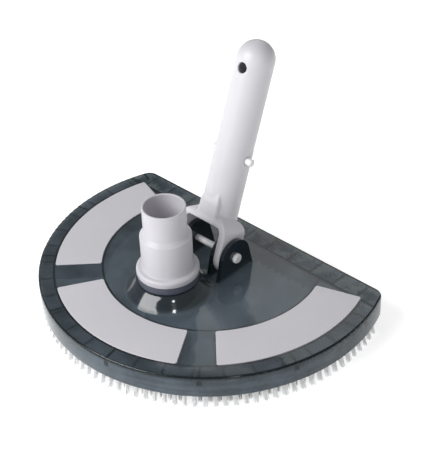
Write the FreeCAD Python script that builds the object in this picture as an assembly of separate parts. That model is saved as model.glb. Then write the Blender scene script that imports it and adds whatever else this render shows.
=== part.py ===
import FreeCAD, Part
import math
import os

# Manual vacuum head for a pool: a half-moon shell with weights, brushes, a swivelling
# hose connector and a clip-in pole handle. Millimetres, floor at zero height.

# overall head
head_radius = 132.5        # half the width, and the round front's radius
back_reach = 53.0          # arc centre to the flat back edge
corner_round = 9.0         # the two back corners
rim_height = 28.5          # floor to the top of the deck
skirt_lift = 10.8          # floor to the skirt's lower edge
skirt_wall = 2.6
deck_thickness = 3.0
top_edge_round = 1.6
skirt_edge_round = 0.8
band_width = 12.8          # rim edge to the panels, round the front
back_band_width = 18.0     # rim edge to the inner wall, along the back
inner_wall = 2.0
rib_thickness = 1.6
rib_pitch_deg = 9.4
back_rib_pitch = 22.0
boss_radius = 3.4

# panels, weights and the wells they sit in
panel_width = 35.3
panel_gap_deg = 13.3
panel_corner = 1.8
panel_rise = 0.5
panel_thickness = 2.4
panel_edge_round = 0.5
well_depth = 10.0
well_wall = 2.0
well_corner = 2.4
seat_clearance = 0.35
weight_thickness = 6.0
weight_inset = 0.8
post_radius = 4.0
post_clearance = 0.4

# brushes
strip_width = 7.0
strip_thickness = 3.0
strip_rise = 3.7           # skirt's lower edge up to the strip's underside
strip_gap_deg = 0.8
back_strip_margin = 10.0
backing_width = 6.0
backing_thickness = 1.4
tuft_radius = 1.65
tuft_pitch = 6.8
tuft_row_offset = 1.85     # strip's middle line to each row of tufts
rib_clearance = 0.3
peg_radius = 1.6
peg_clearance = 0.05
peg_end_gap = 0.6
pegs_per_strip = 3

# screws
screw_radius = 1.45
screw_head_radius = 2.6
screw_head_height = 1.6
screw_pilot_clearance = 0.05
screw_pass_clearance = 0.3
screw_end_gap = 0.5
screws_per_panel = 3

# hose connector and neck
hose_small_radius = 16.0
hose_wall = 1.6
hose_step = 3.0
flange_overhang = 4.3
flange_thickness = 5.4
small_step_length = 21.5
step_slope_length = 3.2
large_step_length = 27.2
spigot_wall = 2.6
neck_height = 10.7
neck_foot_flare = 9.7
neck_foot_round = 1.8
neck_side_wall = 3.4
neck_wall = 2.5
neck_front_gap = 2.5       # neck foot to the front well's wall
sleeve_drop = 1.5          # sleeve end below the deck's underside
washer_thickness = 5.8
ring_thickness = 1.5
ring_mouth_deg = 24.0
running_clearance = 0.08
face_clearance = 0.2

# pivot ears and pin
pivot_lift = 15.0          # deck up to the pin's centre
ear_thickness = 3.2
ear_radius = 14.6
ear_front_foot = 19.0
ear_back_foot = 18.5
pin_radius = 2.45
pin_head_radius = 3.9
pin_head_height = 2.8
cap_skirt_length = 3.2

# handle
handle_length = 159.4      # pin centre to the round end
handle_tilt_deg = 21.5
tube_radius = 14.4
tube_wall = 2.4
tube_setback = 1.5         # tube centre behind the pin
guide_drop = 0.2           # the end above the buttons is this much slimmer
guide_taper = 1.6
fork_gap = 34.0
arm_thickness = 5.5
arm_side_clearance = 0.5
arm_end_radius = 14.0
arm_end_shift = 1.2
crossbar_underside = 21.2
crossbar_corner = 4.0
shoulder_height = 26.8
shoulder_round = 10.5
shoulder_front_round = 5.5
fork_front = 15.2
fork_back = 9.0
fork_front_corner = 1.6
fork_back_corner = 4.0
pad_half_width = 8.8       # flat pad on the front of the tube's foot
pad_proud = 0.7
pad_corner = 1.6
pad_shoulder = 36.0
pad_top = 48.0
lock_hole_radius = 4.0
lock_hole_from_end = 20.4
hose_to_fork_gap = 6.1

# push buttons and their spring
button_height_on_handle = 72.0
button_radius = 2.8
button_hole_clearance = 0.2
button_proud = 5.0
button_flange_radius = 4.0
button_flange_thickness = 1.2
button_flange_gap = 0.6
spring_leaf = 0.8
spring_width = 7.0
spring_bow_radius = 4.0
spring_bow_height = 32.0

# sizes that follow from the ones above
deck_underside = rim_height - deck_thickness
panel_outer = head_radius - band_width
panel_inner = panel_outer - panel_width
panel_end_deg = math.degrees(math.asin((back_reach - back_band_width + inner_wall + 0.4) / panel_outer))
panel_span_deg = (2.0 * (90.0 + panel_end_deg) - 2.0 * panel_gap_deg) / 3.0
panel_pitch_deg = panel_span_deg + panel_gap_deg
panel_middle_radius = (panel_inner + panel_outer) / 2.0
well_offset = seat_clearance + well_wall
well_floor = rim_height - well_depth
well_underside = well_floor - well_wall
inner_wall_radius = panel_outer + well_offset
inner_wall_back = back_reach - back_band_width + well_offset / 2.0
strip_radius = (inner_wall_radius + head_radius - skirt_wall) / 2.0
strip_underside = skirt_lift + strip_rise
strip_top = strip_underside + strip_thickness
rib_underside = strip_top + rib_clearance
back_strip_y = back_reach - skirt_wall - strip_width / 2.0 - 1.0
strip_outer = strip_radius + strip_width / 2.0
strip_end_deg = math.degrees(math.asin((back_strip_y - strip_width / 2.0 - 2.0) / strip_outer))
strip_span_deg = (2.0 * (90.0 + strip_end_deg) - 2.0 * strip_gap_deg) / 3.0
strip_pitch_deg = strip_span_deg + strip_gap_deg
back_strip_edge = back_strip_y + strip_width / 2.0
back_strip_half = math.sqrt(strip_outer ** 2 - back_strip_edge ** 2) - back_strip_margin

passage_radius = hose_small_radius - hose_wall
hose_large_radius = hose_small_radius + hose_step
flange_radius = hose_large_radius + flange_overhang
spigot_radius = passage_radius + spigot_wall
groove_radius = spigot_radius - spigot_wall / 2.0
sleeve_bore = spigot_radius + running_clearance
sleeve_outer = sleeve_bore + neck_wall
sleeve_end = deck_underside - sleeve_drop
neck_foot = flange_radius + neck_foot_flare
neck_top = flange_radius + 0.6
neck_crown = rim_height + neck_height
washer_underside = neck_crown + 0.1
flange_underside = washer_underside + washer_thickness + face_clearance
flange_top = flange_underside + flange_thickness
large_step_top = flange_top + large_step_length
small_step_foot = large_step_top + step_slope_length
hose_top = small_step_foot + small_step_length
ring_top = sleeve_end - face_clearance
ring_underside = ring_top - ring_thickness
spigot_end = ring_underside - 1.6
hose_y = -(panel_inner - well_offset - neck_front_gap - neck_foot)

fork_half = fork_gap / 2.0
arm_outside = fork_half + arm_thickness
inner_ear_outside = fork_half - arm_side_clearance
outer_ear_inside = arm_outside + arm_side_clearance
outer_ear_outside = outer_ear_inside + ear_thickness
pivot_y = hose_y + flange_radius + fork_front + hose_to_fork_gap
pivot_height = rim_height + pivot_lift
tube_bore = tube_radius - tube_wall
tube_front = tube_setback - tube_radius
guide_radius = tube_radius - guide_drop
guide_foot = button_height_on_handle + 8.0
tube_end = handle_length - guide_radius
lock_hole_height = handle_length - lock_hole_from_end
button_flange_face = math.sqrt(tube_bore ** 2 - button_flange_radius ** 2) - button_flange_gap
button_back = button_flange_face - button_flange_thickness
button_tip = tube_radius + button_proud

tilt = math.radians(handle_tilt_deg)
handle_back = pivot_y + tube_end * math.sin(tilt) + tube_setback * math.cos(tilt) + guide_radius
origin_shift = (head_radius - handle_back) / 2.0


def point(x, y, z=0.0):
    return FreeCAD.Vector(x, y, z)


def on_circle(radius, angle_deg, z=0.0):
    angle = math.radians(angle_deg)
    return point(radius * math.cos(angle), radius * math.sin(angle), z)


def cylinder(radius, x, y, z_low, z_high):
    return Part.makeCylinder(radius, z_high - z_low, point(x, y, z_low))


def rod_along_x(radius, x_low, x_high, y, z):
    return Part.makeCylinder(radius, x_high - x_low, point(x_low, y, z), point(1, 0, 0))


def block(x_low, x_high, y_low, y_high, z_low, z_high):
    return Part.makeBox(x_high - x_low, y_high - y_low, z_high - z_low, point(x_low, y_low, z_low))


def rounded_loop(corners):
    # closed flat loop through (a, b, rounding) corners, returned as edges in the floor plane
    edges = []
    count = len(corners)
    exits = []
    entries = []
    for index in range(count):
        before = corners[index - 1]
        here = corners[index]
        after = corners[(index + 1) % count]
        spot = point(here[0], here[1])
        back = (point(before[0], before[1]) - spot).normalize()
        ahead = (point(after[0], after[1]) - spot).normalize()
        if here[2] == 0:
            entries.append(spot)
            exits.append(spot)
            continue
        half = back.getAngle(ahead) / 2.0
        reach = here[2] / math.tan(half)
        entry = spot + back * reach
        leave = spot + ahead * reach
        inward = (back + ahead).normalize()
        crest = spot + inward * (here[2] / math.sin(half) - here[2])
        edges.append(Part.Arc(entry, crest, leave).toShape())
        entries.append(entry)
        exits.append(leave)
    for index in range(count):
        start = exits[index]
        end = entries[(index + 1) % count]
        if (end - start).Length > 1e-6:
            edges.append(Part.makeLine(start, end))
    return edges


def face_of(edges):
    return Part.Face(Part.Wire(Part.__sortEdges__(edges)))


def turned(corners, x, y):
    # a round piece whose half section has (radius, height, rounding) corners
    face = face_of(rounded_loop(corners))
    face.rotate(point(0, 0), point(1, 0), 90)
    solid = face.revolve(point(0, 0), point(0, 0, 1), 360)
    solid.translate(point(x, y))
    return solid


def side_plate(corners, x_low, x_high):
    # a plate across X whose outline has (y, z, rounding) corners
    face = face_of(rounded_loop(corners))
    face.rotate(point(0, 0), point(1, 0), 90)
    face.rotate(point(0, 0), point(0, 0, 1), 90)
    plate = face.extrude(point(x_high - x_low, 0))
    plate.translate(point(x_low, 0))
    return plate


def front_plate(corners, y_low, y_high):
    # a plate across Y whose outline has (x, z, rounding) corners
    face = face_of(rounded_loop(corners))
    face.rotate(point(0, 0), point(1, 0), 90)
    plate = face.extrude(point(0, y_high - y_low))
    plate.translate(point(0, y_low))
    return plate


def half_moon(radius, back, corner, z_low, z_high):
    corner_y = back - corner
    corner_x = math.sqrt((radius - corner) ** 2 - corner_y ** 2)
    meet_deg = math.degrees(math.atan2(corner_y, corner_x))
    middle_deg = (90.0 + meet_deg) / 2.0
    right = point(corner_x, corner_y)
    right_middle = right + on_circle(corner, middle_deg)
    left_middle = point(-right_middle.x, right_middle.y)
    right_meet = on_circle(radius, meet_deg)
    left_meet = point(-right_meet.x, right_meet.y)
    edges = [
        Part.makeLine(point(-corner_x, back), point(corner_x, back)),
        Part.Arc(point(corner_x, back), right_middle, right_meet).toShape(),
        Part.Arc(right_meet, point(0, -radius), left_meet).toShape(),
        Part.Arc(left_meet, left_middle, point(-corner_x, back)).toShape(),
    ]
    face = face_of(edges)
    face.translate(point(0, 0, z_low))
    return face.extrude(point(0, 0, z_high - z_low))


def sector(inner, outer, half_deg, side_shift, z_low, z_high, corner):
    # ring segment centred on the front, its straight ends moved outward by side_shift
    inner_deg = half_deg + math.degrees(math.asin(side_shift / inner))
    outer_deg = half_deg + math.degrees(math.asin(side_shift / outer))
    inner_left = on_circle(inner, -90.0 - inner_deg)
    inner_right = on_circle(inner, -90.0 + inner_deg)
    outer_left = on_circle(outer, -90.0 - outer_deg)
    outer_right = on_circle(outer, -90.0 + outer_deg)
    edges = [
        Part.Arc(inner_left, point(0, -inner), inner_right).toShape(),
        Part.makeLine(inner_right, outer_right),
        Part.Arc(outer_right, point(0, -outer), outer_left).toShape(),
        Part.makeLine(outer_left, inner_left),
    ]
    face = face_of(edges)
    face.translate(point(0, 0, z_low))
    solid = face.extrude(point(0, 0, z_high - z_low))
    if corner > 0:
        solid = solid.makeFillet(corner, upright_edges(solid))
    return solid


def upright_edges(solid):
    edges = []
    for edge in solid.Edges:
        ends = edge.Vertexes
        if len(ends) == 2 and abs(ends[0].Z - ends[1].Z) > 0.5:
            edges.append(edge)
    return edges


def edges_at_height(solid, height):
    edges = []
    for edge in solid.Edges:
        box = edge.BoundBox
        if abs(box.ZMin - height) < 0.001 and abs(box.ZMax - height) < 0.001:
            edges.append(edge)
    return edges


def turned_copy(shape, angle_deg):
    copy = shape.copy()
    copy.rotate(point(0, 0), point(0, 0, 1), angle_deg)
    return copy


def panel_angles():
    return [-panel_pitch_deg, 0.0, panel_pitch_deg]


def strip_angles():
    return [-strip_pitch_deg, 0.0, strip_pitch_deg]


def spread(count, half_span):
    return [half_span * (2.0 * index / (count - 1) - 1.0) for index in range(count)]


def panel_screw_spots(turn_deg):
    spots = []
    for angle in spread(screws_per_panel, panel_span_deg * 0.37):
        spots.append(on_circle(panel_middle_radius, -90.0 + turn_deg + angle))
    return spots


def peg_spots(turn_deg):
    spots = []
    for angle in spread(pegs_per_strip, strip_span_deg * 0.4):
        spots.append(on_circle(strip_radius, -90.0 + turn_deg + angle))
    return spots


def back_peg_spots():
    return [point(x, back_strip_y) for x in spread(pegs_per_strip, back_strip_half * 0.7)]


def all_peg_spots():
    spots = back_peg_spots()
    for turn in strip_angles():
        spots.extend(peg_spots(turn))
    return spots


# ---- shell

def shell_skin():
    outside = half_moon(head_radius, back_reach, corner_round, skirt_lift, rim_height)
    outside = outside.makeFillet(top_edge_round, edges_at_height(outside, rim_height))
    outside = outside.makeFillet(skirt_edge_round, edges_at_height(outside, skirt_lift))
    inside = half_moon(head_radius - skirt_wall, back_reach - skirt_wall, corner_round - skirt_wall,
                       skirt_lift - 1.0, deck_underside)
    return outside.cut(inside)


def inner_wall_ring():
    outer = half_moon(inner_wall_radius, inner_wall_back, corner_round, strip_underside, deck_underside + 0.5)
    inner = half_moon(inner_wall_radius - inner_wall, inner_wall_back - inner_wall, corner_round - inner_wall,
                      strip_underside - 1.0, deck_underside + 1.0)
    return outer.cut(inner)


def front_ribs():
    ribs = []
    inner = inner_wall_radius - 0.5
    outer = head_radius - skirt_wall + 0.5
    last = int((90.0 + strip_end_deg) / rib_pitch_deg)
    for index in range(-last, last + 1):
        rib = block(inner, outer, -rib_thickness / 2.0, rib_thickness / 2.0, rib_underside, deck_underside + 0.5)
        ribs.append(turned_copy(rib, -90.0 + index * rib_pitch_deg))
    return ribs


def back_ribs():
    ribs = []
    reach = math.sqrt(inner_wall_radius ** 2 - inner_wall_back ** 2) - corner_round
    count = int(reach / back_rib_pitch + 0.5)
    for index in range(count):
        for side in (-1, 1):
            x = side * back_rib_pitch * (index + 0.5)
            ribs.append(block(x - rib_thickness / 2.0, x + rib_thickness / 2.0, inner_wall_back - 0.5,
                              back_reach - skirt_wall + 0.5, rib_underside, deck_underside + 0.5))
    return ribs


def peg_bosses():
    bosses = []
    for spot in all_peg_spots():
        bosses.append(cylinder(boss_radius, spot.x, spot.y, rib_underside, deck_underside + 0.5))
    return bosses


def neck_solid():
    profile = [
        (0.0, deck_underside, 0.0),
        (neck_foot + neck_foot_round, deck_underside, 0.0),
        (neck_foot + neck_foot_round, rim_height, 0.0),
        (neck_foot, rim_height, neck_foot_round),
        (neck_top, neck_crown, 1.0),
        (0.0, neck_crown, 0.0),
    ]
    return turned(profile, 0.0, hose_y)


def neck_hollow():
    profile = [
        (sleeve_outer, deck_underside - 1.0, 0.0),
        (neck_foot - neck_side_wall, deck_underside - 1.0, 0.0),
        (neck_top - neck_side_wall, neck_crown - neck_wall, 1.0),
        (sleeve_outer, neck_crown - neck_wall, 0.0),
    ]
    return turned(profile, 0.0, hose_y)


def ear(x_low, x_high):
    base = rim_height - deck_thickness / 2.0
    front = pivot_y - ear_front_foot
    back = pivot_y + ear_back_foot
    front_side = tangent_spot(front, rim_height, -1)
    back_side = tangent_spot(back, rim_height, 1)
    crown = point(pivot_y, pivot_height + ear_radius)
    corners = [point(front, base), point(front, rim_height), front_side, crown, back_side,
               point(back, rim_height), point(back, base)]
    edges = [
        Part.makeLine(corners[0], corners[1]),
        Part.makeLine(corners[1], corners[2]),
        Part.Arc(corners[2], corners[3], corners[4]).toShape(),
        Part.makeLine(corners[4], corners[5]),
        Part.makeLine(corners[5], corners[6]),
        Part.makeLine(corners[6], corners[0]),
    ]
    face = face_of(edges)
    face.rotate(point(0, 0), point(1, 0), 90)
    face.rotate(point(0, 0), point(0, 0, 1), 90)
    plate = face.extrude(point(x_high - x_low, 0))
    plate.translate(point(x_low, 0))
    return plate


def tangent_spot(foot_y, foot_z, side):
    # where the straight edge from a foot touches the ear's round top
    dy = foot_y - pivot_y
    dz = foot_z - pivot_height
    distance = math.hypot(dy, dz)
    to_foot = math.atan2(dz, dy)
    swing = math.acos(ear_radius / distance)
    angle = to_foot + side * swing
    return point(pivot_y + ear_radius * math.cos(angle), pivot_height + ear_radius * math.sin(angle))


def ears():
    inner_inside = inner_ear_outside - ear_thickness
    return [
        ear(inner_inside, inner_ear_outside),
        ear(-inner_ear_outside, -inner_inside),
        ear(outer_ear_inside, outer_ear_outside),
        ear(-outer_ear_outside, -outer_ear_inside),
    ]


def wells():
    solids = []
    for turn in panel_angles():
        well = sector(panel_inner - well_offset, panel_outer + well_offset, panel_span_deg / 2.0, well_offset,
                      well_underside, deck_underside + 0.5, well_corner + well_wall)
        solids.append(turned_copy(well, turn))
    return solids


def well_pockets():
    solids = []
    for turn in panel_angles():
        pocket = sector(panel_inner - seat_clearance, panel_outer + seat_clearance, panel_span_deg / 2.0,
                        seat_clearance, well_floor, rim_height + 1.0, well_corner)
        solids.append(turned_copy(pocket, turn))
    return solids


def shell_holes():
    holes = [cylinder(sleeve_bore, 0.0, hose_y, sleeve_end - 1.0, neck_crown + 1.0)]
    holes.append(rod_along_x(pin_radius + running_clearance, -outer_ear_outside - 1.0, outer_ear_outside + 1.0,
                             pivot_y, pivot_height))
    for spot in all_peg_spots():
        holes.append(cylinder(peg_radius + peg_clearance, spot.x, spot.y,
                              rib_underside - 1.0, deck_underside - peg_end_gap / 2.0))
    for turn in panel_angles():
        for spot in panel_screw_spots(turn):
            holes.append(cylinder(screw_radius + screw_pass_clearance, spot.x, spot.y,
                                  well_underside - 1.0, well_floor + 1.0))
    return holes


def head_shell():
    shell = shell_skin()
    sleeve = cylinder(sleeve_outer, 0.0, hose_y, sleeve_end, deck_underside + 1.0)
    under = [inner_wall_ring()] + front_ribs() + back_ribs() + peg_bosses() + wells() + [sleeve, neck_solid()]
    shell = shell.multiFuse(under + ears())
    shell = shell.cut(Part.makeCompound(well_pockets() + [neck_hollow()]))
    shell = shell.cut(Part.makeCompound(shell_holes()))
    return shell.removeSplitter()


# ---- panels, weights and screws

def panel_cover(turn_deg):
    top = rim_height + panel_rise
    underside = top - panel_thickness
    plate = sector(panel_inner, panel_outer, panel_span_deg / 2.0, 0.0, underside, top, panel_corner)
    plate = plate.makeFillet(panel_edge_round, edges_at_height(plate, top))
    plate = turned_copy(plate, turn_deg)
    posts = []
    pilots = []
    for spot in panel_screw_spots(turn_deg):
        posts.append(cylinder(post_radius, spot.x, spot.y, well_floor, underside + 0.5))
        pilots.append(cylinder(screw_radius + screw_pilot_clearance, spot.x, spot.y,
                               well_floor - 1.0, underside + screw_end_gap))
    return plate.multiFuse(posts).cut(Part.makeCompound(pilots))


def weight(turn_deg):
    slab = sector(panel_inner + weight_inset, panel_outer - weight_inset, panel_span_deg / 2.0, -weight_inset,
                  well_floor, well_floor + weight_thickness, panel_corner)
    slab = turned_copy(slab, turn_deg)
    holes = []
    for spot in panel_screw_spots(turn_deg):
        holes.append(cylinder(post_radius + post_clearance, spot.x, spot.y,
                              well_floor - 1.0, well_floor + weight_thickness + 1.0))
    return slab.cut(Part.makeCompound(holes))


def screw(x, y, seat, tip):
    shank = cylinder(screw_radius, x, y, seat, tip)
    profile = [
        (0.0, seat - screw_head_height, 0.0),
        (screw_head_radius, seat - screw_head_height, 0.5),
        (screw_head_radius, seat, 0.0),
        (0.0, seat, 0.0),
    ]
    return turned(profile, x, y).fuse(shank)


def panel_screws():
    tip = rim_height + panel_rise - panel_thickness
    solids = []
    for turn in panel_angles():
        for spot in panel_screw_spots(turn):
            solids.append(screw(spot.x, spot.y, well_underside, tip))
    return Part.makeCompound(solids)


# ---- brushes

def pegs(spots):
    return [cylinder(peg_radius, s.x, s.y, strip_top - 0.5, deck_underside - peg_end_gap) for s in spots]


def arc_strip(turn_deg):
    half = strip_width / 2.0
    solid = sector(strip_radius - half, strip_radius + half, strip_span_deg / 2.0, 0.0,
                   strip_underside, strip_top, 1.0)
    return turned_copy(solid, turn_deg).multiFuse(pegs(peg_spots(turn_deg)))


def back_strip():
    half = strip_width / 2.0
    solid = block(-back_strip_half, back_strip_half, back_strip_y - half, back_strip_y + half,
                  strip_underside, strip_top)
    solid = solid.makeFillet(1.0, upright_edges(solid))
    return solid.multiFuse(pegs(back_peg_spots()))


def tufts_at(spots):
    top = strip_underside - backing_thickness + 0.4
    return [cylinder(tuft_radius, s.x, s.y, 0.0, top) for s in spots]


def arc_bristles(turn_deg):
    # two staggered rows of tufts on a thin backing
    half = backing_width / 2.0
    margin_deg = math.degrees((tuft_radius + 0.5) / strip_radius)
    reach_deg = strip_span_deg / 2.0 - margin_deg
    count = int(math.radians(2.0 * reach_deg) * strip_radius / tuft_pitch) + 1
    step_deg = 2.0 * reach_deg / (count - 1)
    spots = []
    for index in range(count):
        angle = -90.0 + turn_deg - reach_deg + index * step_deg
        spots.append(on_circle(strip_radius + tuft_row_offset, angle))
        if index < count - 1:
            spots.append(on_circle(strip_radius - tuft_row_offset, angle + step_deg / 2.0))
    backing = sector(strip_radius - half, strip_radius + half, strip_span_deg / 2.0, 0.0,
                     strip_underside - backing_thickness, strip_underside, 0.0)
    return turned_copy(backing, turn_deg).multiFuse(tufts_at(spots))


def back_bristles():
    half = backing_width / 2.0
    reach = back_strip_half - tuft_radius - 0.5
    count = int(2.0 * reach / tuft_pitch) + 1
    step = 2.0 * reach / (count - 1)
    spots = []
    for index in range(count):
        spots.append(point(-reach + index * step, back_strip_y + tuft_row_offset))
        if index < count - 1:
            spots.append(point(-reach + (index + 0.5) * step, back_strip_y - tuft_row_offset))
    backing = block(-back_strip_half, back_strip_half, back_strip_y - half, back_strip_y + half,
                    strip_underside - backing_thickness, strip_underside)
    return backing.multiFuse(tufts_at(spots))


# ---- hose connector

def hose_connector():
    profile = [
        (passage_radius, spigot_end, 0.0),
        (spigot_radius, spigot_end, 0.5),
        (spigot_radius, ring_underside - 0.1, 0.0),
        (groove_radius, ring_underside - 0.1, 0.0),
        (groove_radius, ring_top + 0.1, 0.0),
        (spigot_radius, ring_top + 0.1, 0.0),
        (spigot_radius, flange_underside, 0.0),
        (flange_radius, flange_underside, 0.7),
        (flange_radius, flange_top, 2.2),
        (hose_large_radius, flange_top, 0.8),
        (hose_large_radius, large_step_top, 0.8),
        (hose_small_radius, small_step_foot, 0.8),
        (hose_small_radius, hose_top, 0.7),
        (passage_radius, hose_top, 0.7),
    ]
    return turned(profile, 0.0, hose_y)


def swivel_washer():
    profile = [
        (sleeve_bore + 0.3, washer_underside, 0.0),
        (flange_radius - 0.6, washer_underside, 0.4),
        (flange_radius - 0.9, washer_underside + washer_thickness, 0.4),
        (sleeve_bore + 0.3, washer_underside + washer_thickness, 0.0),
    ]
    return turned(profile, 0.0, hose_y)


def retaining_ring():
    outer = sleeve_outer - 0.2
    ring = cylinder(outer, 0.0, hose_y, ring_underside, ring_top)
    ring = ring.cut(cylinder(groove_radius + 0.05, 0.0, hose_y, ring_underside - 1.0, ring_top + 1.0))
    mouth_half = outer * math.sin(math.radians(ring_mouth_deg / 2.0))
    mouth = block(-mouth_half, mouth_half, hose_y, hose_y + outer + 1.0, ring_underside - 1.0, ring_top + 1.0)
    return ring.cut(mouth)


# ---- pivot pin

def pivot_pin():
    # shank with a domed head on the right
    seat = outer_ear_outside + 0.1
    far_end = -outer_ear_outside - cap_skirt_length
    profile = [
        (0.0, far_end, 0.0),
        (pin_radius, far_end, 0.5),
        (pin_radius, seat, 0.0),
        (pin_head_radius, seat, 0.0),
        (pin_head_radius, seat + pin_head_height, 1.4),
        (0.0, seat + pin_head_height, 0.0),
    ]
    return laid_along_x(turned(profile, 0.0, 0.0))


def pin_cap():
    seat = -outer_ear_outside - 0.1
    closed_end = seat - cap_skirt_length - 1.2
    profile = [
        (0.0, closed_end, 0.0),
        (pin_head_radius, closed_end, 1.4),
        (pin_head_radius, seat, 0.0),
        (pin_radius + 0.03, seat, 0.0),
        (pin_radius + 0.03, seat - cap_skirt_length - 0.1, 0.0),
        (0.0, seat - cap_skirt_length - 0.1, 0.0),
    ]
    return laid_along_x(turned(profile, 0.0, 0.0))


def laid_along_x(solid):
    solid.rotate(point(0, 0), point(0, 1), 90)
    solid.translate(point(0, pivot_y, pivot_height))
    return solid


# ---- handle, modelled upright with the pin at the origin, then tilted back

def tilted(solid):
    solid.rotate(point(0, 0), point(1, 0), -handle_tilt_deg)
    solid.translate(point(0, pivot_y, pivot_height))
    return solid


def rounded_section(half_x, front, back, front_corner, back_corner, height):
    corners = [
        (-half_x, front, front_corner),
        (half_x, front, front_corner),
        (half_x, back, back_corner),
        (-half_x, back, back_corner),
    ]
    wire = Part.Wire(Part.__sortEdges__(rounded_loop(corners)))
    wire.translate(point(0, 0, height))
    return wire


def foot_pad():
    # a flat pad down the tube's front that sinks into the tube at its top
    front = tube_front - pad_proud
    foot = rounded_section(pad_half_width + 0.3, front - 0.3, 0.0, pad_corner, pad_corner, crossbar_underside + 2.0)
    middle = rounded_section(pad_half_width, front, 0.0, pad_corner, pad_corner, pad_shoulder)
    sunk = pad_half_width - 2.4
    depth = tube_setback - math.sqrt(tube_radius ** 2 - sunk ** 2)
    head = rounded_section(sunk, depth + 0.3, 0.0, pad_corner, pad_corner, pad_top)
    return Part.makeLoft([foot, middle, head], True, True)


def fork():
    below = -arm_end_radius - arm_end_shift - 1.0
    sides = [
        (-arm_outside, below, 0.0),
        (-fork_half, below, 0.0),
        (-fork_half, crossbar_underside, crossbar_corner),
        (fork_half, crossbar_underside, crossbar_corner),
        (fork_half, below, 0.0),
        (arm_outside, below, 0.0),
        (arm_outside, shoulder_height, shoulder_round),
        (-arm_outside, shoulder_height, shoulder_round),
    ]
    flank = [
        (-arm_end_radius - arm_end_shift, 0.0, 0.0),
        (arm_end_radius - arm_end_shift, 0.0, 0.0),
        (fork_back, crossbar_underside - 8.0, 5.0),
        (fork_back, shoulder_height, shoulder_round),
        (-fork_front, shoulder_height, shoulder_front_round),
    ]
    arm_side = side_plate(flank, -arm_outside, arm_outside)
    arm_end = rod_along_x(arm_end_radius, -arm_outside, arm_outside, -arm_end_shift, 0.0)
    plan = rounded_section(arm_outside, -fork_front, arm_end_radius, fork_front_corner, fork_back_corner, below)
    upright = Part.Face(plan).extrude(point(0, 0, shoulder_height + 1.0 - below))
    return arm_side.fuse(arm_end).common(front_plate(sides, -40.0, 40.0)).common(upright)


def handle():
    spine = cylinder(tube_radius, 0.0, tube_setback, crossbar_underside, guide_foot - guide_taper)
    taper = Part.makeCone(tube_radius, guide_radius, guide_taper,
                          point(0, tube_setback, guide_foot - guide_taper), point(0, 0, 1))
    guide = cylinder(guide_radius, 0.0, tube_setback, guide_foot, tube_end)
    crown = Part.makeSphere(guide_radius, point(0, tube_setback, tube_end))
    solid = spine.multiFuse([taper, guide, crown, foot_pad(), fork()])
    bore = cylinder(tube_bore, 0.0, tube_setback, crossbar_underside - 1.0, tube_end)
    bore = bore.fuse(Part.makeSphere(tube_bore, point(0, tube_setback, tube_end)))
    lock_hole = Part.makeCylinder(lock_hole_radius, 80.0, point(0, -40.0, lock_hole_height), point(0, 1, 0))
    button_holes = rod_along_x(button_radius + button_hole_clearance, -40.0, 40.0,
                               tube_setback, button_height_on_handle)
    pin_hole = rod_along_x(pin_radius + running_clearance, -40.0, 40.0, 0.0, 0.0)
    solid = solid.cut(bore)
    solid = solid.cut(Part.makeCompound([lock_hole, button_holes, pin_hole]))
    return tilted(solid.removeSplitter())


def push_button(side):
    profile = [
        (0.0, button_back, 0.0),
        (button_flange_radius, button_back, 0.0),
        (button_flange_radius, button_flange_face, 0.0),
        (button_radius, button_flange_face, 0.0),
        (button_radius, button_tip, 1.2),
        (0.0, button_tip, 0.0),
    ]
    solid = turned(profile, 0.0, 0.0)
    solid.rotate(point(0, 0), point(0, 1), 90 * side)
    solid.translate(point(0, tube_setback, button_height_on_handle))
    return tilted(solid)


def clip_spring():
    # a strip bent into a V, its bow at the bottom and its legs behind the buttons
    top = button_height_on_handle + button_flange_radius
    lean = button_back - face_clearance
    outer = [
        (-lean, top, 0.0),
        (-spring_bow_radius, spring_bow_height, 8.0),
        (0.0, spring_bow_height - 1.6 * spring_bow_radius, 2.5),
        (spring_bow_radius, spring_bow_height, 8.0),
        (lean, top, 0.0),
        (lean - spring_leaf, top, 0.0),
        (spring_bow_radius - spring_leaf, spring_bow_height, 6.0),
        (0.0, spring_bow_height - 1.6 * spring_bow_radius + 1.9 * spring_leaf, 1.6),
        (spring_leaf - spring_bow_radius, spring_bow_height, 6.0),
        (spring_leaf - lean, top, 0.0),
    ]
    half = spring_width / 2.0
    return tilted(front_plate(outer, tube_setback - half, tube_setback + half))


def save(name, shape):
    placed = shape.copy()
    placed.translate(point(0, origin_shift))
    placed.exportStep("parts/" + name + ".step")


os.makedirs("parts", exist_ok=True)
side_names = ["left", "front", "right"]
save("head_shell", head_shell())
for side, turn in zip(side_names, panel_angles()):
    save(side + "_panel_cover", panel_cover(turn))
    save(side + "_weight", weight(turn))
save("panel_screws", panel_screws())
for side, turn in zip(side_names, strip_angles()):
    save(side + "_brush_strip", arc_strip(turn))
    save(side + "_bristles", arc_bristles(turn))
save("back_brush_strip", back_strip())
save("back_bristles", back_bristles())
save("hose_connector", hose_connector())
save("swivel_washer", swivel_washer())
save("retaining_ring", retaining_ring())
save("pivot_pin", pivot_pin())
save("pin_cap", pin_cap())
save("handle", handle())
save("clip_spring", clip_spring())
save("right_button", push_button(1))
save("left_button", push_button(-1))
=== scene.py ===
import math

import bmesh
import bpy
from mathutils import Matrix, Vector


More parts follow.
